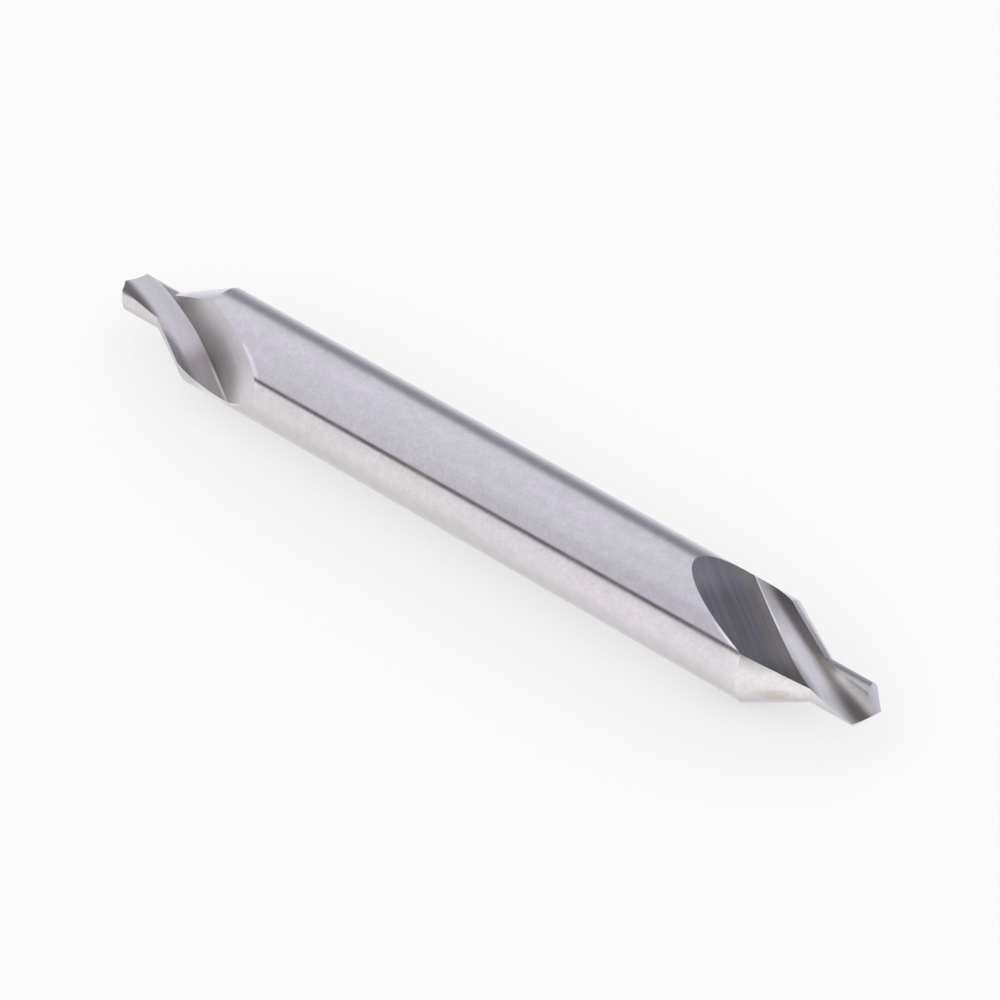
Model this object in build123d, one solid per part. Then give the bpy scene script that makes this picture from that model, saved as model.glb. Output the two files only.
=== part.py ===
import os
from math import cos, radians, sin, tan

from build123d import *

# Sizes in millimetres. X runs along the tool and Z points up, with the origin at mid-length on the axis.
BODY_DIAMETER = 12.0
PILOT_DIAMETER = 5.0
OVERALL_LENGTH = 100.0
COUNTERSINK_ANGLE = 60.0
PILOT_LENGTH = 6.8
POINT_ANGLE = 118.0

# How far each end's grinding is turned about the axis.
RIGHT_TURN = 34.7
LEFT_TURN = 17.5

# Flute: the heel wall is a flat, the rake wall is round. Angles run from Z towards Y, seen from the tip.
HEEL_ANGLE = 48.3
HEEL_SLOPE = 19.2
HEEL_DEPTH = 2.17
# Rake wall stations: distance ahead of the shoulder, centre Y, centre Z, radius.
RIGHT_RAKE = [
    (-12.0, 9.7, 2.0, 4.6),
    (-4.0, 5.2, 2.95, 2.85),
    (3.0, 1.8, 3.55, 2.5),
    (9.0, -0.75, 3.9, 3.05),
    (15.0, -3.0, 4.05, 4.45),
]
# The left end's wheel ran a little deeper.
LEFT_RAKE = [
    (-12.0, 10.8, 3.4, 4.55),
    (-4.0, 5.55, 3.55, 2.95),
    (3.0, 1.75, 3.75, 2.6),
    (9.0, -0.85, 3.9, 3.1),
    (15.0, -2.85, 4.15, 4.4),
]

# Relief behind the cutting edges: each land is ground to an arc that is smaller and off centre.
RELIEF_SHIFT = 0.32
RELIEF_DEPTH = 0.26
RELIEF_ANGLE = 40.0
LAND_SPLIT_ANGLE = 15.0

# The two flanks of the point are rounded, and meet in the chisel edge.
LIP_ANGLE = 40.0
FLANK_RADIUS = 9.0
FLANK_SLOPE = 14.0

CLEAR = 3.0
# Turns the start of the round bar clear of the flutes.
SEAM_TURN = 20.0

body_radius = BODY_DIAMETER / 2
pilot_radius = PILOT_DIAMETER / 2
cone_rate = tan(radians(COUNTERSINK_ANGLE / 2))
cone_length = (body_radius - pilot_radius) / cone_rate
nose_length = cone_length + PILOT_LENGTH
shoulder = OVERALL_LENGTH / 2 - nose_length


def around(angle):
    return Vector(0, sin(radians(angle)), cos(radians(angle)))


def make_blank():
    end = nose_length + CLEAR + shoulder
    half = [
        (0, body_radius),
        (shoulder, body_radius),
        (shoulder + cone_length, pilot_radius),
        (end, pilot_radius),
    ]
    outline = [(-end, 0)] + [(-x, r) for x, r in reversed(half[1:])] + half[1:] + [(end, 0)]
    face = make_face(Polyline(*outline, close=True))
    return Rot(SEAM_TURN, 0, 0) * revolve(face, Axis.X)


def make_flute(stations):
    across = around(HEEL_ANGLE)
    along = around(HEEL_ANGLE - 90)
    reach = BODY_DIAMETER
    sections = []
    for x, y, z, radius in stations:
        centre = Vector(x, y, z)
        low = centre - across * radius
        side = centre - along * radius
        high = centre + across * radius
        far_high = high + along * reach
        far_low = low + along * reach
        edges = [
            Edge.make_three_point_arc(low, side, high),
            Edge.make_line(high, far_high),
            Edge.make_line(far_high, far_low),
            Edge.make_line(far_low, low),
        ]
        sections.append(Face(Wire(edges)))
    wheel = loft(sections)
    slope = radians(HEEL_SLOPE)
    normal = Vector(1, 0, 0) * sin(slope) + across * cos(slope)
    heel = Plane(origin=normal * HEEL_DEPTH, x_dir=along, z_dir=normal)
    return wheel & (heel * Box(60, 60, 60, align=(Align.CENTER, Align.CENTER, Align.MIN)))


def make_relief():
    radius = body_radius - RELIEF_DEPTH
    small = pilot_radius - RELIEF_DEPTH
    back = -CLEAR - 1
    front = nose_length + CLEAR + 1
    outline = [(back, 0), (back, radius - back * cone_rate), (cone_length, small), (front, small), (front, 0)]
    land = revolve(make_face(Polyline(*outline, close=True)), Axis.X)
    land = Pos(around(RELIEF_ANGLE) * RELIEF_SHIFT) * land
    ring = Plane(origin=(-CLEAR, 0, 0), x_dir=(0, 1, 0), z_dir=(1, 0, 0)) * Cylinder(
        body_radius + 1, nose_length + 2 * CLEAR, align=(Align.CENTER, Align.CENTER, Align.MIN)
    )
    split = Plane(origin=(0, 0, 0), x_dir=(1, 0, 0), z_dir=around(LAND_SPLIT_ANGLE + 90))
    return (ring & (split * Box(60, 60, 60, align=(Align.CENTER, Align.CENTER, Align.MIN)))) - land


def make_flank():
    half_point = radians(POINT_ANGLE / 2)
    lip = around(LIP_ANGLE)
    forward = Vector(1, 0, 0)
    along = lip * sin(half_point) - forward * cos(half_point)
    outward = forward * sin(half_point) + lip * cos(half_point)
    behind = around(LIP_ANGLE + 90)
    tip = Vector(nose_length, 0, 0)
    slope = radians(FLANK_SLOPE)
    centre = tip - behind * (FLANK_RADIUS * sin(slope)) - outward * (FLANK_RADIUS * cos(slope))
    drum = Plane(origin=centre, x_dir=behind, z_dir=along) * Cylinder(FLANK_RADIUS, 60)
    stock = Pos(nose_length - 4, 0, 0) * Box(8, 8, 8, align=(Align.MIN, Align.CENTER, Align.CENTER))
    return stock - drum


def make_end(stations):
    end = []
    for tool in (make_relief(), make_flute(stations), make_flank()):
        placed = Pos(shoulder, 0, 0) * tool
        end += [placed, Rot(180, 0, 0) * placed]
    return end


drill = make_blank()
for tool in make_end(RIGHT_RAKE):
    drill -= Rot(RIGHT_TURN, 0, 0) * tool
for tool in make_end(LEFT_RAKE):
    drill -= Rot(LEFT_TURN, 0, 0) * Rot(0, 0, 180) * tool

centre_drill = drill.solid()
centre_drill.label = "centre_drill"
os.makedirs("parts", exist_ok=True)
export_step(centre_drill, "parts/centre_drill.step")
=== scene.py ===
import math

import bpy
from mathutils import Matrix, Vector

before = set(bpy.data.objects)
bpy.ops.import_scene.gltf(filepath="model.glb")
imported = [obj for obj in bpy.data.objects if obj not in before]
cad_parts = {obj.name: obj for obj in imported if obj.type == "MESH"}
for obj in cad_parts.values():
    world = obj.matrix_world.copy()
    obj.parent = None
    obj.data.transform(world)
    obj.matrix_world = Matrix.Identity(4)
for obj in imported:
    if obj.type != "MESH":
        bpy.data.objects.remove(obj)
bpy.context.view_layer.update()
scene = bpy.context.scene

# Lengths in metres, from the CAD part.
BODY_RADIUS = 0.006
PILOT_RADIUS = 0.0025
SHOULDER = 0.03714
TIP = 0.05
END_TURNS = {"right": 34.7, "left": 17.5}
HEEL_DEPTH = 0.00217
RELIEF_ANGLE = 40.0
RELIEF_SHIFT = 0.00032
RELIEF_DEPTH = 0.00026
LAND_TOLERANCE = 0.00004
HEEL_NORMAL = Vector((0.3289, 0.7051, 0.6282)).normalized()
GRIND_LINE = Vector((0.810, -0.552, 0.198))
GRIND_LINE = (GRIND_LINE - HEEL_NORMAL * GRIND_LINE.dot(HEEL_NORMAL)).normalized()


def end_matrix(end, flute):
    """Turns a direction drawn for one flute of the end frame into the row frame."""
    turn = Matrix.Rotation(math.radians(END_TURNS[end]), 3, "X")
    if end == "left":
        turn = turn @ Matrix.Rotation(math.pi, 3, "Z")
    return turn @ Matrix.Rotation(math.pi * flute, 3, "X")


class Graph:
    """Small helper for building node trees."""

    def __init__(self, tree):
        self.tree = tree
        tree.nodes.clear()

    def node(self, kind, inputs=None, **settings):
        made = self.tree.nodes.new(kind)
        for name, value in settings.items():
            setattr(made, name, value)
        for name, value in (inputs or {}).items():
            if isinstance(value, bpy.types.NodeSocket):
                self.tree.links.new(value, made.inputs[name])
            else:
                made.inputs[name].default_value = value
        return made

    def math(self, operation, a, b=0.0, clamp=False):
        return self.node("ShaderNodeMath", {0: a, 1: b}, operation=operation, use_clamp=clamp).outputs[0]

    def noise(self, vector, scale, detail=3.0, roughness=0.5):
        made = self.node("ShaderNodeTexNoise", {"Vector": vector, "Scale": scale, "Detail": detail, "Roughness": roughness})
        return made.outputs["Fac"]

    def scaled(self, vector, factors):
        return self.node("ShaderNodeVectorMath", {0: vector, 1: factors}, operation="MULTIPLY").outputs[0]

    def remap(self, value, low, high, to_low, to_high):
        made = self.node(
            "ShaderNodeMapRange",
            {"Value": value, "From Min": low, "From Max": high, "To Min": to_low, "To Max": to_high},
        )
        return made.outputs[0]

    def smooth(self, value, low, high, to_low, to_high):
        made = self.node(
            "ShaderNodeMapRange",
            {"Value": value, "From Min": low, "From Max": high, "To Min": to_low, "To Max": to_high},
            interpolation_type="SMOOTHSTEP",
        )
        return made.outputs[0]

    def mix_colour(self, factor, a, b):
        made = self.node("ShaderNodeMix", data_type="RGBA")
        for index, value in ((0, factor), (6, a), (7, b)):
            if isinstance(value, bpy.types.NodeSocket):
                self.tree.links.new(value, made.inputs[index])
            else:
                made.inputs[index].default_value = value
        return made.outputs[2]


class Surface:
    """Ground steel: colour with painted shade and highlights, roughness and fine lines built from the place on the
    tool.
    """

    def __init__(self, name, roughness, anisotropic, end="right", flute=0):
        self.material = bpy.data.materials.new(name)
        self.material.use_nodes = True
        self.g = Graph(self.material.node_tree)
        self.position = self.g.node("ShaderNodeTexCoord").outputs["Object"]
        self.roughness = roughness
        self.anisotropic = anisotropic
        turn = end_matrix(end, flute)
        self.line = turn @ GRIND_LINE
        self.heel = turn @ HEEL_NORMAL
        self.side = turn @ GRIND_LINE.cross(HEEL_NORMAL)
        # Place along the flute's corner line, across it and out from the heel flat, in millimetres.
        self.along = self.distance(self.line, GRIND_LINE.x * SHOULDER)
        self.across = self.distance(self.side, GRIND_LINE.cross(HEEL_NORMAL).x * SHOULDER)
        self.height = self.distance(self.heel, HEEL_NORMAL.x * SHOULDER + HEEL_DEPTH)
        self.tint = None
        self.shade = None

    def distance(self, direction, start):
        g = self.g
        dot = g.node("ShaderNodeVectorMath", {0: self.position, 1: direction}, operation="DOT_PRODUCT").outputs["Value"]
        return g.math("MULTIPLY", g.math("SUBTRACT", dot, start), 1000.0)

    def darken(self, share, factor):
        """Multiplies the brightness by factor where share is 1."""
        step = self.g.remap(share, 0.0, 1.0, 1.0, factor)
        self.shade = step if self.shade is None else self.g.math("MULTIPLY", self.shade, step)

    def colour(self, share, colour):
        under = STEEL if self.tint is None else self.tint
        self.tint = self.g.mix_colour(share, under, colour)

    def grain(self, vector, contrast, detail=4.0):
        lines = self.g.noise(vector, 1.0, detail, 0.6)
        self.darken(self.g.remap(lines, 0.25, 0.75, 0.0, 1.0), 1.0 - contrast)
        return lines

    def finish(self, lines, bump, tangent):
        g = self.g
        if self.tint is None:
            self.tint = g.node("ShaderNodeRGB").outputs[0]
            self.tint.default_value = STEEL
        base = g.node("ShaderNodeVectorMath", {0: self.tint, 3: self.shade}, operation="SCALE").outputs[0]
        blotch = g.noise(self.position, 300.0, 3.0, 0.5)
        rough = g.remap(blotch, 0.3, 0.7, self.roughness - 0.025, self.roughness + 0.025)
        bumped = g.node("ShaderNodeBump", {"Height": lines, "Strength": bump, "Distance": 0.00005}).outputs[0]
        shader = g.node(
            "ShaderNodeBsdfPrincipled",
            {
                "Base Color": base,
                "Metallic": 1.0,
                "Roughness": rough,
                "Anisotropic": self.anisotropic,
                "Anisotropic Rotation": 0.25,
                "Normal": bumped,
            },
        )
        if tangent is None:
            direction = g.node("ShaderNodeTangent", direction_type="RADIAL", axis="X").outputs[0]
        else:
            direction = g.node("ShaderNodeCombineXYZ", {0: tangent[0], 1: tangent[1], 2: tangent[2]}).outputs[0]
        g.tree.links.new(direction, shader.inputs["Tangent"])
        g.node("ShaderNodeOutputMaterial", {"Surface": shader.outputs[0]})
        return self.material

    def flute_lines(self, contrast):
        """Grinding lines that run along the flute's corner."""
        vector = self.g.node("ShaderNodeCombineXYZ", {0: self.along, 1: self.across, 2: self.height}).outputs[0]
        self.grain(self.g.scaled(vector, (0.05, 1.6, 1.6)), contrast * 0.7, 3.0)
        return self.grain(self.g.scaled(vector, (0.12, 7.0, 7.0)), contrast)


def ground_body():
    s = Surface("ground_body", 0.2, 0.9)
    g = s.g
    lines = s.grain(g.scaled(s.position, (9000.0, 500.0, 500.0)), 0.05)
    s.grain(g.scaled(s.position, (70.0, 300.0, 300.0)), 0.06, 3.0)
    s.grain(g.scaled(s.position, (900.0, 900.0, 900.0)), 0.1, 3.0)
    s.grain(g.scaled(s.position, (3200.0, 3200.0, 3200.0)), 0.1, 2.0)
    patch = g.smooth(g.noise(g.scaled(s.position, (60.0, 200.0, 200.0)), 1.0, 2.0), 0.45, 0.66, 0.0, 1.0)
    s.colour(patch, LILAC)
    cells = g.node("ShaderNodeTexVoronoi", {"Vector": s.position, "Scale": 420.0})
    chance = g.node("ShaderNodeSeparateColor", {"Color": cells.outputs["Color"]}).outputs[0]
    speck = g.math(
        "MULTIPLY",
        g.smooth(cells.outputs["Distance"], 0.05, 0.14, 1.0, 0.0),
        g.math("GREATER_THAN", chance, 0.95),
    )
    s.darken(speck, 0.8)
    s.colour(speck, BROWN)
    # Painted light: the body is painted a little brighter towards the right shoulder.
    across_x = g.math("MULTIPLY", g.node("ShaderNodeSeparateXYZ", {"Vector": s.position}).outputs["X"], 1000.0)
    s.darken(g.smooth(across_x, 33.0, 37.1, 0.0, 1.0), 1.06)
    # Painted highlights: the body is painted brighter along the flute rims where they run out of the bar, and on the
    # right end over a wider strip beside the rim.
    for end, (start, full, fade, gone), factor in (
        ("right", (-3.4, -1.4, 8.0, 9.0), 1.5),
        ("left", (-10.4, -9.4, -6.0, -4.5), 1.3),
    ):
        for flute in (0, 1):
            turn = end_matrix(end, flute)
            height = s.distance(turn @ HEEL_NORMAL, HEEL_NORMAL.x * SHOULDER + HEEL_DEPTH)
            along = s.distance(turn @ GRIND_LINE, GRIND_LINE.x * SHOULDER)
            run = g.math("MULTIPLY", g.smooth(along, start, full, 0.0, 1.0), g.smooth(along, fade, gone, 1.0, 0.0))
            s.darken(g.math("MULTIPLY", g.smooth(height, -0.32, -0.12, 0.0, 1.0), run), factor)
            if end == "right":
                s.darken(g.math("MULTIPLY", g.smooth(height, -1.3, -0.4, 0.0, 1.0), g.smooth(along, -1.8, 0.3, 0.0, 1.0)), 1.18)
    return s.finish(lines, 0.004, None)


def ground_land():
    s = Surface("ground_land", 0.24, 0.7)
    g = s.g
    lines = s.grain(g.scaled(s.position, (6000.0, 700.0, 700.0)), 0.05)
    s.grain(g.scaled(s.position, (700.0, 700.0, 700.0)), 0.12, 3.0)
    s.grain(g.scaled(s.position, (2600.0, 2600.0, 2600.0)), 0.12, 2.0)
    s.colour(g.smooth(g.noise(s.position, 330.0, 2.0), 0.5, 0.62, 0.0, 0.3), WARM)
    # A dull, yellowish, darker patch low on the right countersink.
    offset = g.node("ShaderNodeVectorMath", {0: s.position, 1: DULL_PATCH_CENTRE}, operation="SUBTRACT").outputs[0]
    far = g.node("ShaderNodeVectorMath", {0: g.scaled(offset, DULL_PATCH_SCALE)}, operation="LENGTH").outputs["Value"]
    far = g.math("ADD", far, g.remap(g.noise(s.position, 700.0, 3.0), 0.3, 0.7, -0.35, 0.35))
    dull_patch = g.smooth(far, 0.55, 1.1, 1.0, 0.0)
    s.colour(dull_patch, BEIGE)
    s.darken(dull_patch, 0.86)
    return s.finish(lines, 0.006, None)


def heel_wall(end, flute):
    s = Surface(f"heel_{end}_{flute}", 0.3, 0.9, end, flute)
    g = s.g
    if end == "right":
        lines = s.flute_lines(0.32)
        # Painted shade and light: the heel wall is painted darker away from the corner line and towards the lower end,
        # and brighter towards the upper end. It is bluish away from the corner line and brownish next to it.
        near = g.smooth(s.across, 0.3, 3.0, 1.0, 0.0)
        s.colour(g.math("SUBTRACT", 1.0, near), BLUE)
        s.colour(g.math("MULTIPLY", near, 0.6), BROWN)
        s.darken(g.smooth(s.across, 0.6, 3.2, 0.0, 1.0), 0.92)
        s.darken(g.smooth(s.along, 1.5, 4.5, 0.0, 1.0), 0.62)
        s.darken(g.smooth(s.along, -5.0, -8.5, 0.0, 1.0), 1.3)
    else:
        lines = s.flute_lines(0.1)
        # Painted shade: the heel wall is painted darker and brownish next to the corner line, and a little darker along
        # most of its length. It is lilac further from the line.
        start = g.remap(s.along, -3.0, 2.0, 3.3, 1.1)
        low_start = g.remap(s.along, -10.0, -6.5, 0.6, 3.3)
        wide = g.math("SUBTRACT", s.across, g.math("MINIMUM", start, low_start))
        s.colour(g.smooth(wide, 0.0, 2.5, 0.0, 0.7), LILAC)
        s.colour(g.smooth(wide, -0.5, 2.5, 0.5, 0.0), BROWN)
        dark = g.math("MULTIPLY", g.smooth(wide, -0.5, 4.0, 1.0, 0.0), g.smooth(s.along, 4.4, 6.0, 1.0, 0.0))
        s.darken(dark, 0.5)
        s.darken(g.smooth(s.along, -7.0, -9.5, 1.0, 0.0), 0.86)
    return s.finish(lines, 0.012, s.line)


def rake_wall(end, flute):
    s = Surface(f"rake_{end}_{flute}", 0.28, 0.8, end, flute)
    g = s.g
    lines = s.flute_lines(0.12)
    if end == "right":
        # Painted shade: a dark brownish band along the cutting edge, deeper towards the tip, a darker strip by the
        # corner line near the tip, and darker towards the body. A slight painted light lies over the rest.
        start = g.remap(s.along, 3.0, 10.0, 0.75, 0.0)
        band = g.smooth(g.math("SUBTRACT", s.height, start), 0.0, 0.9, 0.0, 1.0)
        opened = g.math("MULTIPLY", g.smooth(s.along, 4.8, 6.2, 0.0, 1.0), g.smooth(s.height, 1.2, 2.3, 0.0, 0.75))
        band = g.math("MULTIPLY", band, g.math("SUBTRACT", 1.0, opened))
        s.darken(band, 0.5)
        s.darken(g.math("MULTIPLY", band, g.smooth(s.along, 6.5, 9.0, 0.0, 1.0)), 0.6)
        s.darken(g.math("MULTIPLY", g.smooth(s.height, 0.0, 0.35, 0.0, 1.0), g.smooth(s.along, 5.4, 7.6, 0.0, 1.0)), 0.78)
        s.colour(g.math("MULTIPLY", band, 0.8), BROWN)
        s.darken(g.smooth(s.along, 0.5, -4.5, 0.0, 1.0), 0.66)
        s.darken(g.smooth(s.along, -2.0, 1.0, 0.0, 1.0), 1.04)
        rim_run = (0.0, -3.0)
    else:
        # Painted shade: the rake wall is painted darker and brownish towards the body and by the tip, and a little
        # darker away from the corner line. It is lilac towards the body.
        low = g.smooth(s.along, 0.4, -3.2, 0.0, 1.0)
        low = g.math("MULTIPLY", low, g.smooth(s.height, 1.2, 2.2, 1.0, 0.25))
        s.darken(low, 0.56)
        s.darken(g.smooth(s.height, 0.0, 0.3, 0.0, 1.0), 0.88)
        tip = g.math("MULTIPLY", g.smooth(s.along, 3.5, 5.0, 0.0, 1.0), g.smooth(s.height, 1.5, 2.4, 0.0, 1.0))
        s.darken(tip, 0.42)
        s.colour(tip, BROWN)
        s.colour(g.smooth(s.along, 9.0, 1.0, 0.0, 0.6), LILAC)
        s.colour(g.math("MULTIPLY", low, 0.8), BROWN)
        rim_run = (-3.0, -6.0)
    # Painted highlight: a bright line painted along the corner line of the rake wall over part of its length.
    rim = g.math("MULTIPLY", g.smooth(s.height, 0.04, 0.2, 1.0, 0.0), g.smooth(s.along, rim_run[0], rim_run[1], 0.0, 1.0))
    s.darken(rim, 1.6)
    return s.finish(lines, 0.008, s.line)


STEEL = (0.64, 0.635, 0.655, 1.0)
LILAC = (0.655, 0.632, 0.68, 1.0)
WARM = (0.66, 0.635, 0.6, 1.0)
BEIGE = (0.66, 0.62, 0.6, 1.0)
BLUE = (0.6, 0.605, 0.69, 1.0)
BROWN = (0.65, 0.595, 0.585, 1.0)
DULL_PATCH_CENTRE = (0.0402, -0.0042, -0.0006)
DULL_PATCH_SCALE = (560.0, 400.0, 1000.0)
materials = []
slots = {}


def add_slot(key, material):
    slots[key] = len(materials)
    materials.append(material)


add_slot("body", ground_body())
add_slot("land", ground_land())
for end in END_TURNS:
    for flute in (0, 1):
        add_slot(("heel", end, flute), heel_wall(end, flute))
        add_slot(("rake", end, flute), rake_wall(end, flute))


def is_land(centre, end):
    """True on the round lands: the tool's nominal outline or the relieved arc behind an edge."""
    cone = BODY_RADIUS - (abs(centre.x) - SHOULDER) * math.tan(math.radians(30))
    nominal = max(PILOT_RADIUS, min(BODY_RADIUS, cone))
    if abs(math.hypot(centre.y, centre.z) - nominal) < LAND_TOLERANCE:
        return True
    for flute in (0, 1):
        angle = math.radians(RELIEF_ANGLE)
        shift = end_matrix(end, flute) @ Vector((0, math.sin(angle), math.cos(angle))) * RELIEF_SHIFT
        arc = max(PILOT_RADIUS, cone) - RELIEF_DEPTH
        if abs(math.hypot(centre.y - shift.y, centre.z - shift.z) - arc) < LAND_TOLERANCE:
            return True
    return False


def face_kind(centre, normal):
    """Which ground surface of the tool a face belongs to."""
    end = "right" if centre.x > 0 else "left"
    radial = Vector((0, centre.y, centre.z)).normalized()
    if normal.dot(radial) > 0.97 and abs(centre.x) < SHOULDER + 1e-5 and is_land(centre, end):
        return "body"
    for flute in (0, 1):
        if normal.dot(end_matrix(end, flute) @ HEEL_NORMAL) > 0.9995:
            return ("heel", end, flute)
    if abs(normal.x) > 0.75 and abs(centre.x) > TIP - 0.003:
        return "land"
    if normal.dot(radial) > 0.75 and is_land(centre, end):
        return "land"
    # The grinding wheel crosses the axis line, so the middle of the flute turns with the distance to the tip.
    flute_side = end_matrix(end, 0) @ Vector((0, 0.0032 - 0.45 * (abs(centre.x) - SHOULDER), 0.0034))
    return ("rake", end, 0 if radial.dot(flute_side) > 0 else 1)


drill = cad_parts["centre_drill"]
drill.data.materials.clear()
for material in materials:
    drill.data.materials.append(material)
for polygon in drill.data.polygons:
    polygon.material_index = slots[face_kind(polygon.center, polygon.normal)]

# Stage: a pale floor and a light tent whose panels are seen only in the metal.
FLOOR_HEIGHT = -BODY_RADIUS
bpy.ops.mesh.primitive_plane_add(size=6.0, location=(0, 0, FLOOR_HEIGHT))
floor = bpy.context.object
floor.name = "floor"
paper = bpy.data.materials.new("paper")
paper.use_nodes = True
g = Graph(paper.node_tree)
lit = g.node("ShaderNodeBsdfDiffuse", {"Color": (0.88, 0.88, 0.88, 1.0)})
lift = g.node("ShaderNodeEmission", {"Color": (1.0, 1.0, 1.0, 1.0), "Strength": 0.97})
shader = g.node("ShaderNodeMixShader", {0: 0.6})
g.tree.links.new(lit.outputs[0], shader.inputs[1])
g.tree.links.new(lift.outputs[0], shader.inputs[2])
g.node("ShaderNodeOutputMaterial", {"Surface": shader.outputs[0]})
floor.data.materials.append(paper)

world = bpy.data.worlds.new("studio")
scene.world = world
world.use_nodes = True
g = Graph(world.node_tree)
background = g.node("ShaderNodeBackground", {"Color": (1.0, 1.0, 1.0, 1.0), "Strength": 1.1})
g.node("ShaderNodeOutputWorld", {"Surface": background.outputs[0]})


# The tent by angle from straight up, positive towards +Y: brightness and tint.
COOL = (1.0, 0.985, 1.08)
PALE = (1.0, 0.982, 1.055)
CREAM = (1.0, 0.968, 0.965)
ROSE = (1.0, 0.962, 1.03)
TENT = [
    (-180, 0.95, CREAM),
    (-150, 1.08, CREAM),
    (-120, 1.27, CREAM),
    (-90, 1.27, CREAM),
    (-76, 1.2, CREAM),
    (-74.3, 0.08, PALE),
    (-68.6, 0.08, PALE),
    (-66.5, 1.0, ROSE),
    (-46, 1.0, ROSE),
    (-26, 1.03, PALE),
    (0, 1.04, PALE),
    (35, 1.14, PALE),
    (56, 1.08, PALE),
    (73, 0.46, COOL),
    (88, 0.44, COOL),
    (101, 0.66, COOL),
    (114, 0.92, COOL),
    (145, 1.0, COOL),
    (180, 0.95, CREAM),
]
TENT_RADIUS = 0.3
SEGMENTS = 96
rings = []
for x in (-0.6, 0.6):
    for i in range(SEGMENTS):
        a = 2 * math.pi * i / SEGMENTS
        rings.append((x, TENT_RADIUS * math.sin(a), TENT_RADIUS * math.cos(a)))
faces = [(i, (i + 1) % SEGMENTS, SEGMENTS + (i + 1) % SEGMENTS, SEGMENTS + i) for i in range(SEGMENTS)]
mesh = bpy.data.meshes.new("tent")
mesh.from_pydata(rings, [], faces)
tent = bpy.data.objects.new("tent", mesh)
scene.collection.objects.link(tent)
cloth = bpy.data.materials.new("tent_cloth")
cloth.use_nodes = True
g = Graph(cloth.node_tree)
place = g.node("ShaderNodeSeparateXYZ", {"Vector": g.node("ShaderNodeTexCoord").outputs["Object"]})
angle = g.math("ARCTAN2", place.outputs["Y"], place.outputs["Z"])
turn_share = g.remap(angle, -math.pi, math.pi, 0.0, 1.0)
ramp = g.node("ShaderNodeValToRGB", {"Fac": turn_share})
points = ramp.color_ramp.elements
while len(points) > 1:
    points.remove(points[0])
for number, (degrees, level, tint) in enumerate(TENT):
    place_on_ramp = (degrees + 180) / 360
    if number == 0:
        point = points[0]
        point.position = place_on_ramp
    else:
        point = points.new(place_on_ramp)
    # Halved to stay below 1. The lamp doubles it again.
    point.color = (level * tint[0] / 2, level * tint[1] / 2, level * tint[2] / 2, 1.0)


def turned(degrees):
    return (degrees + 180) / 360


def zone(from_x, to_x, angles):
    """A soft-edged part of the tent: rises with x, and over the four angles rises and falls."""
    rise = g.smooth(turn_share, turned(angles[0]), turned(angles[1]), 0.0, 1.0)
    fall = g.smooth(turn_share, turned(angles[2]), turned(angles[3]), 1.0, 0.0)
    return g.math("MULTIPLY", g.smooth(place.outputs["X"], from_x, to_x, 0.0, 1.0), g.math("MULTIPLY", rise, fall))


dark_back = g.remap(zone(-0.05, 0.03, (20, 32, 78, 88)), 0.0, 1.0, 1.0, 0.19)
bright_low = g.remap(zone(-0.14, 0.1, (-175, -150, -100, -85)), 0.0, 1.0, 1.0, 1.2)
bright_left = g.remap(zone(-0.22, -0.36, (72, 88, 150, 170)), 0.0, 1.0, 1.0, 1.4)
dim_front = g.remap(zone(-0.15, -0.07, (-70, -56, -44, -20)), 0.0, 1.0, 1.0, 0.84)
bright_left = g.math("MULTIPLY", bright_left, dim_front)
level = g.math("MULTIPLY", g.math("MULTIPLY", dark_back, bright_low), g.math("MULTIPLY", bright_left, 2.0))
glow = g.node("ShaderNodeEmission", {"Color": ramp.outputs["Color"], "Strength": level})
g.node("ShaderNodeOutputMaterial", {"Surface": glow.outputs[0]})
mesh.materials.append(cloth)
tent.visible_camera = False
tent.visible_diffuse = False
tent.visible_shadow = False
floor.visible_glossy = False

# Camera matched to the photo.
camera_data = bpy.data.cameras.new("camera")
camera = bpy.data.objects.new("camera", camera_data)
scene.collection.objects.link(camera)
camera_data.sensor_width = 36.0
camera_data.lens = 113.767
camera_data.clip_start = 0.01
right = Vector((0.79953, 0.60062, 0.0))
up = Vector((-0.45410, 0.60449, 0.65451))
back = Vector((0.39311, -0.52330, 0.75605))
turn = Matrix((right, up, back)).transposed().to_4x4()
camera.matrix_world = Matrix.Translation((0.134316, -0.175257, 0.252912)) @ turn
scene.camera = camera
scene.view_settings.view_transform = "Standard"
